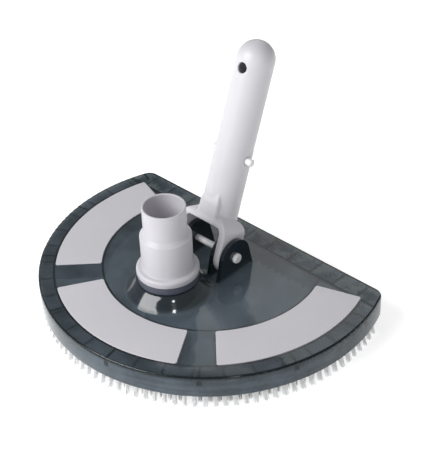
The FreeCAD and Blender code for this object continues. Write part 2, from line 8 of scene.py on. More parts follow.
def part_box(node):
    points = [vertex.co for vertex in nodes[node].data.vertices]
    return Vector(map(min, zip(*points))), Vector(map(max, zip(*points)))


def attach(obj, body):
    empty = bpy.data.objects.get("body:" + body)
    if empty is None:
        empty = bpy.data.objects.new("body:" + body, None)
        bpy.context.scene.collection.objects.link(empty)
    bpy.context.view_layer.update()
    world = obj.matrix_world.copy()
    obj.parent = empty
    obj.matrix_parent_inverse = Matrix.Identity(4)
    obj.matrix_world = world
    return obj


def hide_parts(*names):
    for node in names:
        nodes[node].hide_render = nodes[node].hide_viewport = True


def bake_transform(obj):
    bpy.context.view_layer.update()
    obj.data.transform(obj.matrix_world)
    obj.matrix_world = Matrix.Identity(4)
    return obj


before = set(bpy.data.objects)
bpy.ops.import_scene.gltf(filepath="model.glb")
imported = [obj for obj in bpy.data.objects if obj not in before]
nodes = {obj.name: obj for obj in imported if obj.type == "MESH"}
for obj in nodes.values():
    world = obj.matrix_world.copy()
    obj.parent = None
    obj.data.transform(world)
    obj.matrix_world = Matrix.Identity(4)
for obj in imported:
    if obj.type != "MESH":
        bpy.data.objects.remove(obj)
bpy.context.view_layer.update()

mm = 0.001
weldGap = 0.002 * mm        # corners closer than this are one corner
coverProud = 0.5 * mm       # how far the cover panels stand above the deck

# places on the vacuum head that the rest is set out from
shellLow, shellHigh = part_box("head_shell")
headRadius = shellHigh.x
arcCentre = Vector((0.0, shellLow.y + headRadius, 0.0))     # middle of the round front
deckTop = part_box("front_panel_cover")[1].z - coverProud
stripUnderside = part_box("front_brush_strip")[0].z
backStripLow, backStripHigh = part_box("back_brush_strip")
backStripY = (backStripLow.y + backStripHigh.y) / 2


class Wire:
    # a node's socket, as a value that Python can add and multiply
    def __init__(self, tree, socket):
        self.tree = tree
        self.socket = socket

    def __add__(self, other):
        return self.tree.maths("ADD", self, other)

    def __sub__(self, other):
        return self.tree.maths("SUBTRACT", self, other)

    def __rsub__(self, other):
        return self.tree.maths("SUBTRACT", other, self)

    def __mul__(self, other):
        return self.tree.maths("MULTIPLY", self, other)

    def __truediv__(self, other):
        return self.tree.maths("DIVIDE", self, other)

    __radd__ = __add__
    __rmul__ = __mul__


class Tree:
    # one node tree, of a material or of Geometry Nodes
    def __init__(self, nodeTree):
        self.nodeTree = nodeTree

    def node(self, kind, settings=None, sockets=None, out=0):
        # a list goes into one socket that takes several links
        made = self.nodeTree.nodes.new(kind)
        for name, value in (settings or {}).items():
            setattr(made, name, value)
        for key, value in (sockets or {}).items():
            wires = value if isinstance(value, list) else [value]
            for wire in wires:
                if isinstance(wire, Wire):
                    self.nodeTree.links.new(wire.socket, made.inputs[key])
                else:
                    made.inputs[key].default_value = wire
        return Wire(self, made.outputs[out])

    def maths(self, operation, *values):
        return self.node("ShaderNodeMath", {"operation": operation}, dict(enumerate(values)))

    def larger(self, first, second):
        return self.maths("MAXIMUM", first, second)

    def toWhole(self, value):
        # how far a value is from the nearest whole number
        return self.maths("ABSOLUTE", self.maths("FRACT", value + 0.5) - 0.5)

    def between(self, low, high, value):
        # 0 below low, 1 above high, smooth in between
        settings = {"interpolation_type": "SMOOTHSTEP"}
        return self.node("ShaderNodeMapRange", settings, {"Value": value, "From Min": low, "From Max": high})

    def near(self, full, gone, away):
        # 1 closer than full, 0 further than gone
        return 1 - self.between(full, gone, away)

    def inFrom(self, edge, fade, value):
        # fade is two distances in from an edge: 0 further in than the first, 1 nearer than the second
        return self.between(edge - fade[0], edge - fade[1], value)

    def colourMix(self, share, first, second):
        return self.node("ShaderNodeMix", {"data_type": "RGBA"}, {0: share, 6: first, 7: second}, 2)

    def combine(self, x=0.0, y=0.0, z=0.0):
        return self.node("ShaderNodeCombineXYZ", None, {0: x, 1: y, 2: z})

    def parts(self, vector):
        outputs = self.node("ShaderNodeSeparateXYZ", None, {0: vector}).socket.node.outputs
        return [Wire(self, outputs[axis]) for axis in range(3)]


class Finish(Tree):
    # one material: a Principled shader, with what the piece's surface needs wired into it
    def __init__(self, name, even):
        self.material = bpy.data.materials.new(name)
        self.material.use_nodes = True
        super().__init__(self.material.node_tree)
        self.shader = self.nodeTree.nodes["Principled BSDF"]
        for key, value in even.items():
            self.shader.inputs[key].default_value = value
        self.place = self.node("ShaderNodeTexCoord", out=3)

    def noise(self, scale, detail, roughness=0.5):
        # a scale of three numbers is one for each axis, which stretches the pattern
        place = self.place
        if isinstance(scale, tuple):
            place = self.node("ShaderNodeMapping", None, {"Vector": place, "Scale": scale})
            scale = 1.0
        sockets = {"Vector": place, "Scale": scale, "Detail": detail, "Roughness": roughness}
        return self.node("ShaderNodeTexNoise", None, sockets)

    def noises(self, look, *names):
        return [self.noise(*look[name]) for name in names]

    def fromArcCentre(self, x, y):
        # distance from the middle of the round front, seen from above
        across = y - arcCentre.y
        return self.maths("SQRT", x * x + across * across)

    def wire(self, key, value):
        self.nodeTree.links.new(value.socket, self.shader.inputs[key])

    def seeThrough(self, cover, tint):
        # cover 1 hides what is behind, cover 0 only tints it
        clear = self.node("ShaderNodeBsdfTransparent", None, {0: tint})
        surface = Wire(self, self.shader.outputs[0])
        mixed = self.node("ShaderNodeMixShader", None, {0: cover, 1: clear, 2: surface})
        self.nodeTree.links.new(mixed.socket, self.nodeTree.nodes["Material Output"].inputs[0])

    def relief(self, height, size, under=None):
        # size holds the relief's strength and depth
        sockets = {"Height": height, "Strength": size[0], "Distance": size[1]}
        if under:
            sockets["Normal"] = under
        return self.node("ShaderNodeBump", None, sockets)


def grey(level, warm=0.0):
    return (level * (1 + warm), level, level * (1 - warm), 1.0)


# In the looks, a pattern is its scale (one number, or one for each axis), detail and roughness,
# a relief is its strength and depth, and a pair of lengths is where a soft edge starts and ends.

smokeLook = {
    "clear": (0.030, 0.046, 0.056, 1),
    "cloudy": (0.080, 0.104, 0.130, 1),
    "haze": (0.115, 0.138, 0.145, 1),        # on the deck's back band
    "thick": (0.008, 0.016, 0.023, 1),       # neck and ears, which are solid
    "edge": (0.003, 0.009, 0.012, 1),        # rim, ribs and webs, and the painted shadow in the gaps round the covers
    "tint": (0.66, 0.75, 0.79, 1),           # what one wall does to the light that goes through

    "cloud": (38.0, 4.0, 0.6),
    "streak": ((13.0, 13.0, 300.0), 3.0, 0.6),
    "flow": ((9.0, 46.0, 9.0), 3.0, 0.5),
    "scuff": ((420.0, 60.0, 60.0), 5.0, 0.7),
    "blotch": (95.0, 3.0, 0.6),
    "streakShare": 0.4,
    "mottleRange": (0.34, 0.66),
    "blotchRange": (0.40, 0.62),

    "wallCover": 0.68,         # how much one face of the wall hides, seen square on
    "flowCover": 0.05,
    "edgeCover": 0.25,         # and how much more at a grazing view
    "skirtCover": 0.12,        # and on the skirt
    "thickCover": 0.90,
    "rimCover": 0.92,
    "skirtTop": (3.2 * mm, 4.2 * mm),        # down from the deck
    "solidFoot": (0.4 * mm, 2.4 * mm),       # up from the deck

    "roughness": 0.10,
    "scuffRoughness": 0.10,
    "deckCoat": 0.50,
    "waveRelief": (0.05, 0.6 * mm),
    "scuffRelief": (0.03, 0.05 * mm),

    # in from the outer edges
    "frontRim": (1.5 * mm, 1.1 * mm),
    "backRim": (2.9 * mm, 2.4 * mm),
    "topRim": (2.6 * mm, 1.8 * mm),
    "deckFace": (0.4 * mm, 0.2 * mm),
    "backBand": (18.6 * mm, 18.1 * mm),

    "firstRib": 9.5,           # degrees from the X axis
    "ribPitch": 30.0,
    "ribHalf": 0.6 * mm,       # half its width at the rim
    "ribFlare": 1.1 * mm,      # and how much wider below the rim
    "flareDrop": (2.2 * mm, 3.0 * mm),
    "ribFade": 0.5 * mm,
    "ribDrop": (7.5 * mm, 6.5 * mm),
    "ribRun": (12.0 * mm, 11.0 * mm),

    "webPitch": 9.4,           # degrees, round the front
    "backWebPitch": 22.0 * mm,
    "webRun": (11.5 * mm, 11.0 * mm),
    "webHalf": (0.7 * mm, 1.5 * mm),
    "webShade": 0.55,

    "wellRadii": (120.6 * mm, 83.6 * mm),    # walls of the wells that hold the covers
    "wellHalf": (0.55 * mm, 1.1 * mm),
    "wallLineHalf": (1.1 * mm, 1.8 * mm),
    "lineShade": 0.96,
}


def rimMask(finish, look, y, z, reach):
    # the rounded rim gathers the tint
    front = finish.inFrom(headRadius, look["frontRim"], reach)
    back = finish.inFrom(shellHigh.y, look["backRim"], y)
    return finish.larger(front, back) * finish.inFrom(deckTop, look["topRim"], z)


def ribMask(finish, look, x, y, z, reach):
    # the ribs behind the front wall, seen as dark marks that widen below the rim
    pitch = math.radians(look["ribPitch"])
    angle = finish.maths("ARCTAN2", y - arcCentre.y, x) - math.radians(look["firstRib"])
    away = finish.toWhole(angle / pitch) * pitch * reach
    half = look["ribHalf"] + look["ribFlare"] * finish.between(*look["flareDrop"], deckTop - z)
    mark = finish.near(half, half + look["ribFade"], away) * finish.inFrom(deckTop, look["ribDrop"], z)
    return mark * finish.inFrom(headRadius, look["ribRun"], reach)


def webMask(finish, look, x, y, reach, far):
    # thin webs under the deck, spoke-wise round the front and square to the back wall
    pitch = math.radians(look["webPitch"])
    turns = finish.maths("ARCTAN2", x, arcCentre.y - y) / pitch
    front = finish.near(*look["webHalf"], finish.toWhole(turns) * pitch * reach)
    front = front * finish.inFrom(headRadius, look["webRun"], reach)
    away = finish.toWhole(x / look["backWebPitch"]) * look["backWebPitch"]
    back = finish.near(*look["webHalf"], away) * far
    return finish.between(0.0, 1.0, front * (1 - far) + back)


def linesAndGapShadeMask(finish, look, y, reach, far, web):
    # lines on the deck's face: painted shadow in the gaps round the covers at the wells' walls, and the
    # inner back wall and the webs
    wellGapShade = 0.0
    # painted shadow in the gap between each cover and its well's wall
    for radius in look["wellRadii"]:
        wellGapShade = wellGapShade + finish.near(*look["wellHalf"], finish.maths("ABSOLUTE", reach - radius))
    fromWall = finish.maths("ABSOLUTE", y - (shellHigh.y - look["backBand"][0]))
    linesAndGapShade = finish.larger(wellGapShade * (1 - far), finish.near(*look["wallLineHalf"], fromWall))
    return finish.larger(linesAndGapShade, web * look["webShade"])


def makeSmokePlastic():
    look = smokeLook
    finish = Finish("smokePlastic", {"IOR": 1.52, "Specular IOR Level": 0.40, "Coat Roughness": 0.08})
    cloud, streak, flow, scuff, blotch = finish.noises(look, "cloud", "streak", "flow", "scuff", "blotch")
    x, y, z = finish.parts(finish.place)
    reach = finish.fromArcCentre(x, y)
    solid = finish.between(deckTop + look["solidFoot"][0], deckTop + look["solidFoot"][1], z)
    deckFace = finish.inFrom(deckTop, look["deckFace"], z) * (1 - solid)
    far = finish.inFrom(shellHigh.y, look["backBand"], y)

    mottle = cloud * (1 - look["streakShare"]) + streak * look["streakShare"]
    tint = finish.colourMix(finish.between(*look["mottleRange"], mottle), look["clear"], look["cloudy"])
    haze = far * finish.between(*look["blotchRange"], blotch) * deckFace
    tint = finish.colourMix(haze, tint, look["haze"])
    tint = finish.colourMix(solid, tint, look["thick"])
    rim = finish.larger(rimMask(finish, look, y, z, reach), ribMask(finish, look, x, y, z, reach))
    linesAndGapShade = linesAndGapShadeMask(finish, look, y, reach, far, webMask(finish, look, x, y, reach, far))
    # the dark colour also paints the shadow in the gaps round the covers
    dark = finish.larger(rim * (1 - solid), linesAndGapShade * deckFace * look["lineShade"])
    finish.wire("Base Color", finish.colourMix(dark, tint, look["edge"]))

    grazing = finish.node("ShaderNodeLayerWeight", None, {"Blend": 0.35}, 1)
    cover = look["wallCover"] + look["flowCover"] * flow + look["edgeCover"] * grazing
    cover = cover + finish.between(*look["skirtTop"], deckTop - z) * look["skirtCover"]
    closed = finish.larger(solid * look["thickCover"], dark * look["rimCover"])
    finish.seeThrough(finish.larger(cover, closed), look["tint"])
    finish.wire("Roughness", look["roughness"] + look["scuffRoughness"] * scuff * cloud)
    finish.wire("Coat Weight", finish.larger(solid, deckFace * (1 - far) * look["deckCoat"]))
    wave = finish.relief(flow, look["waveRelief"])
    finish.wire("Normal", finish.relief(scuff, look["scuffRelief"], wave))
    return finish.material


panelLook = {
    "face": (0.66, 0.65, 0.69, 1), "low": (0.615, 0.605, 0.645, 1),
    "grain": (2600.0, 2.0), "patch": (26.0, 4.0, 0.55), "rub": ((70.0, 300.0, 90.0), 5.0, 0.7),
    "roughness": 0.46, "patchRoughness": 0.10, "rubRoughness": 0.06,
    "grainRelief": (0.25, 0.05 * mm), "patchRelief": (0.08, 0.4 * mm),
}


def makePanelPlastic():
    look = panelLook
    finish = Finish("panelPlastic", {"IOR": 1.46, "Specular IOR Level": 0.35})
    grain, patch, rub = finish.noises(look, "grain", "patch", "rub")
    finish.wire("Base Color", finish.colourMix(patch, look["low"], look["face"]))
    finish.wire("Roughness", look["roughness"] + look["patchRoughness"] * patch + look["rubRoughness"] * rub)
    uneven = finish.relief(patch, look["patchRelief"])
    finish.wire("Normal", finish.relief(grain, look["grainRelief"], uneven))
    return finish.material


# moulded white plastic: faint clouding, flow lines along the pull of the mould, fine grain
whiteLook = {
    "cloud": (55.0, 4.0, 0.6), "grain": (1900.0, 2.0), "flowShare": 0.4, "flowRoughness": 0.12,
    "coat": 0.10, "cloudCoat": 0.12, "waveRelief": (0.10, 0.35 * mm), "grainRelief": (0.10, 0.03 * mm),
}
whitePieces = {
    "hosePlastic": {
        "face": (0.615, 0.605, 0.64, 1), "shade": (0.56, 0.55, 0.59, 1),
        "roughness": 0.34, "flow": ((30.0, 30.0, 140.0), 4.0, 0.55),
    },
    "handlePlastic": {
        "face": (0.68, 0.675, 0.705, 1), "shade": (0.63, 0.625, 0.66, 1),
        "roughness": 0.30, "flow": ((150.0, 20.0, 20.0), 4.0, 0.55),
    },
    # partly painted light: this white is set brighter than the other whites to lift the pivot pin, which
    # stands in shade
    "buttonPlastic": {
        "face": (0.90, 0.90, 0.92, 1), "shade": (0.86, 0.86, 0.88, 1),
        "roughness": 0.26, "flow": ((60.0, 60.0, 60.0), 4.0, 0.55),
    },
}


def makeWhitePlastic(name):
    look = {**whiteLook, **whitePieces[name]}
    finish = Finish(name, {
        "IOR": 1.48, "Specular IOR Level": 0.45, "Coat Roughness": 0.18, "Subsurface Weight": 0.06,
        "Subsurface Radius": (0.004, 0.004, 0.004), "Subsurface Scale": 0.3,
    })
    cloud, flow, grain = finish.noises(look, "cloud", "flow", "grain")
    mottle = cloud * (1 - look["flowShare"]) + flow * look["flowShare"]
    finish.wire("Base Color", finish.colourMix(mottle, look["shade"], look["face"]))
    finish.wire("Roughness", look["roughness"] + look["flowRoughness"] * flow)
    finish.wire("Coat Weight", look["coat"] + look["cloudCoat"] * cloud)
    wave = finish.relief(flow, look["waveRelief"])
    finish.wire("Normal", finish.relief(grain, look["grainRelief"], wave))
    return finish.material


nylonLook = {
    "root": grey(0.80), "tip": grey(0.86, -0.01),
    "inner": grey(0.40),       # painted shade: the inner rows are painted darker all along, for the shade under the head
    "paintedGlow": 0.03,              # painted light: the outer rows' filaments glow a little, though they are no lamp
    "fleck": (700.0, 2.0), "roughness": 0.30, "fleckRoughness": 0.20,
    "outerRow": (6.6 * mm, 6.0 * mm),        # in from the head's edge
    "backRow": (0.4 * mm, 1.0 * mm),         # out from the middle of the back strip
}


def makeNylon():
    look = nylonLook
    finish = Finish("nylonFilament", {
        "IOR": 1.53, "Specular IOR Level": 0.5, "Subsurface Weight": 0.25, "Subsurface Scale": 0.5,
        "Subsurface Radius": (0.002, 0.002, 0.002), "Emission Strength": look["paintedGlow"],
    })
    x, y, z = finish.parts(finish.place)
    front = finish.inFrom(headRadius, look["outerRow"], finish.fromArcCentre(x, y))
    back = finish.between(*look["backRow"], y - backStripY)
    outer = finish.larger(front, back)
    upwards = finish.between(0.0, stripUnderside, z)
    outerRowColour = finish.colourMix(upwards, look["tip"], look["root"])
    # painted shade: the inner rows take the darker grey, the outer rows keep their root to tip colour
    finish.wire("Base Color", finish.colourMix(outer, look["inner"], outerRowColour))
    # painted light: only the outer rows glow
    finish.wire("Emission Color", finish.colourMix(outer, grey(0.0), grey(1.0)))
    fleck = finish.noise(*look["fleck"])
    finish.wire("Roughness", look["roughness"] + look["fleckRoughness"] * fleck)
    return finish.material


dullLook = {
    "cloud": (120.0, 4.0, 0.6), "grain": (1500.0, 2.0),
    "cloudRoughness": 0.14, "grainRelief": (0.18, 0.05 * mm),
}
dullPieces = {
    "washerPlastic": {"face": (0.115, 0.13, 0.165, 1), "low": (0.075, 0.085, 0.11, 1), "roughness": 0.30},
    "ringPlastic": {"face": grey(0.09), "low": grey(0.06), "roughness": 0.42},
    # partly painted light: the strips' grey is raised to lift the dim inside of the head, seen through the
    # shell
    "stripPlastic": {"face": (0.38, 0.40, 0.43, 1), "low": (0.28, 0.30, 0.33, 1), "roughness": 0.45},
}


def makeDullPlastic(name):
    look = {**dullLook, **dullPieces[name]}
    finish = Finish(name, {"IOR": 1.47, "Specular IOR Level": 0.4})
    cloud, grain = finish.noises(look, "cloud", "grain")
    finish.wire("Base Color", finish.colourMix(cloud, look["low"], look["face"]))
    finish.wire("Roughness", look["roughness"] + look["cloudRoughness"] * cloud)
    finish.wire("Normal", finish.relief(grain, look["grainRelief"]))
    return finish.material


metalLook = {
    "brushed": ((2400.0, 160.0, 160.0), 5.0, 0.7), "pits": (900.0, 5.0, 0.65), "stain": (70.0, 4.0, 0.6),
    "scale": 0.35, "stainScale": 0.4,        # how far a rough casting is from bare metal
    "brushedRoughness": 0.16, "pitRoughness": 0.2, "relief": (0.3, 0.08 * mm),
}
# cast 0 is drawn or rolled metal, 1 is a rough dipped casting
metalPieces = {
    "weightIron": {"bright": grey(0.20), "dark": grey(0.09), "roughness": 0.45, "cast": 1.0},
    "screwSteel": {"bright": grey(0.70), "dark": grey(0.52), "roughness": 0.22, "cast": 0.0},
    "springSteel": {"bright": grey(0.68), "dark": grey(0.50), "roughness": 0.20, "cast": 0.0},
}


def makeMetal(name):
    look = {**metalLook, **metalPieces[name]}
    cast = look["cast"]
    finish = Finish(name, {"Metallic": 1.0, "IOR": 2.4})
    brushed, pits, stain = finish.noises(look, "brushed", "pits", "stain")
    finish.wire("Base Color", finish.colourMix(stain, look["dark"], look["bright"]))
    finish.wire("Metallic", 1.0 - cast * (look["scale"] + look["stainScale"] * stain))
    roughness = look["roughness"] + look["brushedRoughness"] * brushed
    finish.wire("Roughness", roughness + cast * look["pitRoughness"] * pits)
    finish.wire("Normal", finish.relief(pits * cast + brushed * (1 - cast), look["relief"]))
    return finish.material


smokePlastic = makeSmokePlastic()
panelPlastic = makePanelPlastic()
hosePlastic, handlePlastic, buttonPlastic = [makeWhitePlastic(name) for name in whitePieces]
nylonFilament = makeNylon()
washerPlastic, ringPlastic, stripPlastic = [makeDullPlastic(name) for name in dullPieces]
weightIron, screwSteel, springSteel = [makeMetal(name) for name in metalPieces]
print("finishes made:", len(bpy.data.materials))

# the pieces that keep their CAD shape, by how their names end
cadFinishes = {
    "head_shell": smokePlastic,
    "panel_cover": panelPlastic,
    "weight": weightIron,
    "brush_strip": stripPlastic,
    "hose_connector": hosePlastic,
    "swivel_washer": washerPlastic,
    "retaining_ring": ringPlastic,
    "pivot_pin": buttonPlastic,
    "pin_cap": buttonPlastic,
    "clip_spring": springSteel,
    "_button": buttonPlastic,
}
sharpAngle = math.radians(28)


def giveFinish(piece, material):
    piece.data.materials.clear()
    piece.data.materials.append(material)


def shadeSmooth(piece):
    # joins the loose triangles and keeps only real edges sharp
    piece.data.polygons.foreach_set("use_smooth", [True] * len(piece.data.polygons))
    weld = piece.modifiers.new("weld", "WELD")
    weld.merge_threshold = weldGap
    split = piece.modifiers.new("edges", "EDGE_SPLIT")
    split.split_angle = sharpAngle


for nodeName, cadPiece in nodes.items():
    for ending, material in cadFinishes.items():
        if nodeName.endswith(ending):
            giveFinish(cadPiece, material)
            shadeSmooth(cadPiece)
print("CAD pieces finished")


def addPiece(name, mesh, material):
    piece = bpy.data.objects.new(name, mesh)
    bpy.context.scene.collection.objects.link(piece)
    giveFinish(piece, material)
    return piece


def dropPiece(piece):
    bpy.data.objects.remove(piece)


def meshOf(piece):
    # the evaluated shape as a plain mesh
    evaluated = piece.evaluated_get(bpy.context.evaluated_depsgraph_get())
    return bpy.data.meshes.new_from_object(evaluated)


def mergedCopy(node):
    # a CAD piece's mesh with its loose triangles joined up, open for editing
    merged = bmesh.new()
    merged.from_mesh(nodes[node].data)
    bmesh.ops.remove_doubles(merged, verts=merged.verts, dist=weldGap)
    return merged


def closeMesh(name, editing):
    mesh = bpy.data.meshes.new(name)
    editing.to_mesh(mesh)
    editing.free()
    return mesh


def joinMeshes(name, meshes):
    joined = bmesh.new()
    for mesh in meshes:
        joined.from_mesh(mesh)
    return closeMesh(name, joined)


# the handle is the CAD shape with its edges softened as a mould leaves them
handleMake = {"voxel": 0.62 * mm, "softening": 5, "share": 0.5}


def makeHandle():
    draft = addPiece("handleDraft", closeMesh("handleShaft", mergedCopy("handle")), handlePlastic)
    remesh = draft.modifiers.new("remesh", "REMESH")
    remesh.mode = "VOXEL"
    remesh.voxel_size = handleMake["voxel"]
    remesh.use_smooth_shade = True
    soften = draft.modifiers.new("soften", "SMOOTH")
    soften.factor = handleMake["share"]
    soften.iterations = handleMake["softening"]
    shaft = addPiece("handleShaft", meshOf(draft), handlePlastic)
    dropPiece(draft)
    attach(shaft, "handle")
    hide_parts("handle")


makeHandle()
print("handle made")


def makeSpringLeg(name, side):
    half = mergedCopy("clip_spring")
    every = half.verts[:] + half.edges[:] + half.faces[:]
    cut = bmesh.ops.bisect_plane(half, geom=every, plane_co=(0, 0, 0), plane_no=(side, 0, 0),
                                 clear_inner=True)
    rim = [item for item in cut["geom_cut"] if isinstance(item, bmesh.types.BMEdge)]
    bmesh.ops.holes_fill(half, edges=rim)
    bmesh.ops.recalc_face_normals(half, faces=half.faces)
    leg = addPiece(name, closeMesh(name, half), springSteel)
    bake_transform(leg)
    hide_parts("clip_spring")


makeSpringLeg("springLegRight", 1)
makeSpringLeg("springLegLeft", -1)
print("spring legs made")


def openTree(name, inputs):
    # a Geometry Nodes tree with named inputs, given as name: kind of socket
    group = bpy.data.node_groups.new(name, "GeometryNodeTree")
    for label, kind in inputs.items():
        group.interface.new_socket(label, in_out="INPUT", socket_type="NodeSocket" + kind)
    group.interface.new_socket("Mesh", in_out="OUTPUT", socket_type="NodeSocketGeometry")
    tree = Tree(group)
    given = {socket.name: Wire(tree, socket) for socket in group.nodes.new("NodeGroupInput").outputs}
    return tree, given


def closeTree(tree, geometry, material):
    painted = tree.node("GeometryNodeSetMaterial", None, {"Geometry": geometry, "Material": material})
    tree.nodeTree.links.new(painted.socket, tree.nodeTree.nodes.new("NodeGroupOutput").inputs[0])
    return tree.nodeTree


def addTree(piece, name, group, values):
    # inputs go by the socket's identifier, before the object is first evaluated
    modifier = piece.modifiers.new(name, "NODES")
    modifier.node_group = group
    for item in group.interface.items_tree:
        if item.in_out == "INPUT" and item.name in values:
            modifier[item.identifier] = values[item.name]


# the brush is two rows of nylon tufts on each strip, set out along curves
brushMake = {
    "pitch": 6.8 * mm,
    "rowOffset": 1.85 * mm,
    "filaments": 24,
    "sides": 4,
    "bends": 3,
    "rootRadius": 1.75 * mm,
    "filamentRadius": 0.31 * mm,
    "tipShare": 0.62,        # a filament's tip, as a share of its root
    "floorGap": 0.1 * mm,
    "splay": 0.022,          # radians of lean at the tuft's edge
    "unevenness": 0.035,
    "twist": 3.0,            # radians either way about a filament's own length
    "goldenTurn": 2.39996,   # radians from one root to the next
    "outward": 2.9 * mm,     # how far use has bent the outer row's tips
    "innerLean": 1.3 * mm,
    "bendPower": 1.6,
    "endMargin": 2.6 * mm,
    "seed": 11,
}


def brushTree():
    make = brushMake
    tree, given = openTree("brushTufts", {
        "Row": "Geometry", "Pitch": "Float", "Root Radius": "Float", "Filament Radius": "Float",
        "Length": "Float", "Splay": "Float", "Unevenness": "Float", "Filaments": "Int", "Seed": "Int",
        "Filament Finish": "Material",
    })
    spots = tree.node("GeometryNodeResampleCurve", {"mode": "LENGTH"},
                      {"Curve": given["Row"], "Length": given["Pitch"]})

    # filament roots fill a round hole, sunflower fashion, and remember which way they lean
    index = tree.node("GeometryNodeInputIndex")
    reach = tree.maths("SQRT", (index + 0.5) / given["Filaments"]) * given["Root Radius"]
    turn = index * make["goldenTurn"]
    root = tree.combine(reach * tree.maths("COSINE", turn), reach * tree.maths("SINE", turn))
    tuft = tree.node("GeometryNodePoints", None, {"Count": given["Filaments"], "Position": root})
    leaning = tree.node("GeometryNodeStoreNamedAttribute", {"data_type": "FLOAT_VECTOR", "domain": "POINT"},
                        {"Geometry": tuft, "Name": "lean", "Value": root})
    tufts = tree.node("GeometryNodeInstanceOnPoints", None, {"Points": spots, "Instance": leaning})
    roots = tree.node("GeometryNodeRealizeInstances", None, {"Geometry": tufts})

    filament = tree.node("GeometryNodeMeshCone", None, {
        "Vertices": make["sides"], "Side Segments": make["bends"], "Radius Top": given["Filament Radius"],
        "Radius Bottom": given["Filament Radius"] * make["tipShare"], "Depth": given["Length"],
    })
    hang = tree.combine(z=given["Length"] * -1.0)
    hung = tree.node("GeometryNodeTransform", None, {"Geometry": filament, "Translation": hang})
    lean = tree.node("GeometryNodeInputNamedAttribute", {"data_type": "FLOAT_VECTOR"}, {"Name": "lean"})
    leanX, leanY = tree.parts(lean)[:2]
    wander = tree.node("FunctionNodeRandomValue", {"data_type": "FLOAT_VECTOR"},
                       {"Min": (-1.0, -1.0, -1.0), "Max": (1.0, 1.0, 1.0), "Seed": given["Seed"]})
    wanderX, wanderY, wanderZ = tree.parts(wander)
    scatter = given["Unevenness"]
    tilt = given["Splay"] / given["Root Radius"]
    rotation = tree.combine(leanY * tilt + wanderX * scatter, wanderY * scatter - leanX * tilt,
                            wanderZ * make["twist"])
    size = tree.combine(1.0, 1.0, 1.0 - scatter * (0.5 + 0.5 * wanderZ))
    brush = tree.node("GeometryNodeInstanceOnPoints", None,
                      {"Points": roots, "Instance": hung, "Rotation": rotation, "Scale": size})
    real = tree.node("GeometryNodeRealizeInstances", None, {"Geometry": brush})
    bare = tree.node("GeometryNodeRemoveAttribute", None, {"Geometry": real, "Name": "lean"})
    smooth = tree.node("GeometryNodeSetShadeSmooth", None, {"Geometry": bare})
    return closeTree(tree, smooth, given["Filament Finish"])


def runAlong(name, path, group, values):
    # the tree's mesh along a path of points
    curve = bpy.data.curves.new(name, "CURVE")
    curve.dimensions = "3D"
    spline = curve.splines.new("POLY")
    spline.points.add(len(path) - 1)
    for point, spot in zip(spline.points, path):
        point.co = (*spot, 1.0)
    row = bpy.data.objects.new(name, curve)
    bpy.context.scene.collection.objects.link(row)
    addTree(row, name, group, values)
    mesh = meshOf(row)
    dropPiece(row)
    return mesh


def arcPath(radius, middle, half, count=80):
    # middle and half are radians about the arc centre; middle -90 degrees is straight forward
    angles = [middle - half + 2 * half * step / count for step in range(count + 1)]
    spokes = [(radius * math.cos(angle), radius * math.sin(angle)) for angle in angles]
    return [(arcCentre.x + x, arcCentre.y + y, stripUnderside) for x, y in spokes]


def stripSpan(node):
    # middle radius, middle angle and half angle of one arc strip, from its own mesh
    spokes = [vertex.co - arcCentre for vertex in nodes[node].data.vertices]
    radii = [math.hypot(spoke.x, spoke.y) for spoke in spokes]
    angles = [math.atan2(spoke.x, -spoke.y) for spoke in spokes]
    middle = (min(angles) + max(angles)) / 2 - math.pi / 2
    return (min(radii) + max(radii)) / 2, middle, (max(angles) - min(angles)) / 2


def bendTips(mesh, reach, outwardAt):
    # tips move most, roots stay
    for vertex in mesh.vertices:
        share = max(0, (stripUnderside - vertex.co.z) / stripUnderside)
        vertex.co += outwardAt(vertex.co) * (reach * share ** brushMake["bendPower"])


def fromArc(co):
    spoke = co - arcCentre
    spoke.z = 0
    return spoke.normalized()


def backwards(co):
    return Vector((0, 1, 0))


def brushRows():
    # each row's path, how far its tips are bent and which way
    make = brushMake
    bends = ((-1, make["innerLean"]), (1, make["outward"]))
    rows = []
    for node in ("left_brush_strip", "front_brush_strip", "right_brush_strip"):
        radius, middle, half = stripSpan(node)
        for side, bend in bends:
            shift = make["pitch"] / 2 if side < 0 else 0     # inner tufts stand in the outer row's gaps
            margin = make["endMargin"] + shift
            path = arcPath(radius + side * make["rowOffset"], middle, half - margin / radius)
            rows.append((path, bend, fromArc))
    ends = (backStripLow.x + make["endMargin"], backStripHigh.x - make["endMargin"])
    for side, bend in bends:
        y = backStripY + side * make["rowOffset"]
        rows.append(([(x, y, stripUnderside) for x in ends], bend, backwards))
    return rows


def makeBrush():
    group = brushTree()
    make = brushMake
    values = {
        "Pitch": make["pitch"], "Filaments": make["filaments"], "Root Radius": make["rootRadius"],
        "Filament Radius": make["filamentRadius"], "Length": stripUnderside - make["floorGap"],
        "Splay": make["splay"], "Unevenness": make["unevenness"], "Filament Finish": nylonFilament,
    }
    meshes = []
    for number, (path, bend, outwardAt) in enumerate(brushRows()):
        values["Seed"] = make["seed"] + number
        mesh = runAlong("brushRow%d" % number, path, group, values)
        bendTips(mesh, bend, outwardAt)
        meshes.append(mesh)
    brush = addPiece("nylonTufts", joinMeshes("nylonTufts", meshes), nylonFilament)
    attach(brush, "head")
    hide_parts("left_bristles", "front_bristles", "right_bristles", "back_bristles")
    return len(meshes)


print("brush rows made:", makeBrush())

# one cross-recess screw, set at each place where the CAD has one
screwMake = {
    "headRadius": 2.6 * mm, "headHeight": 1.6 * mm, "headTaper": 0.86, "headSides": 32,
    "shankRadius": 1.42 * mm, "shankSides": 20, "threadPitch": 1.1 * mm, "threadDepth": 0.16 * mm,
    "slotWidth": 0.7 * mm, "slotLength": 2.9 * mm, "slotDepth": 1.0 * mm,
    "anyTurn": 6.28, "seed": 3,
}


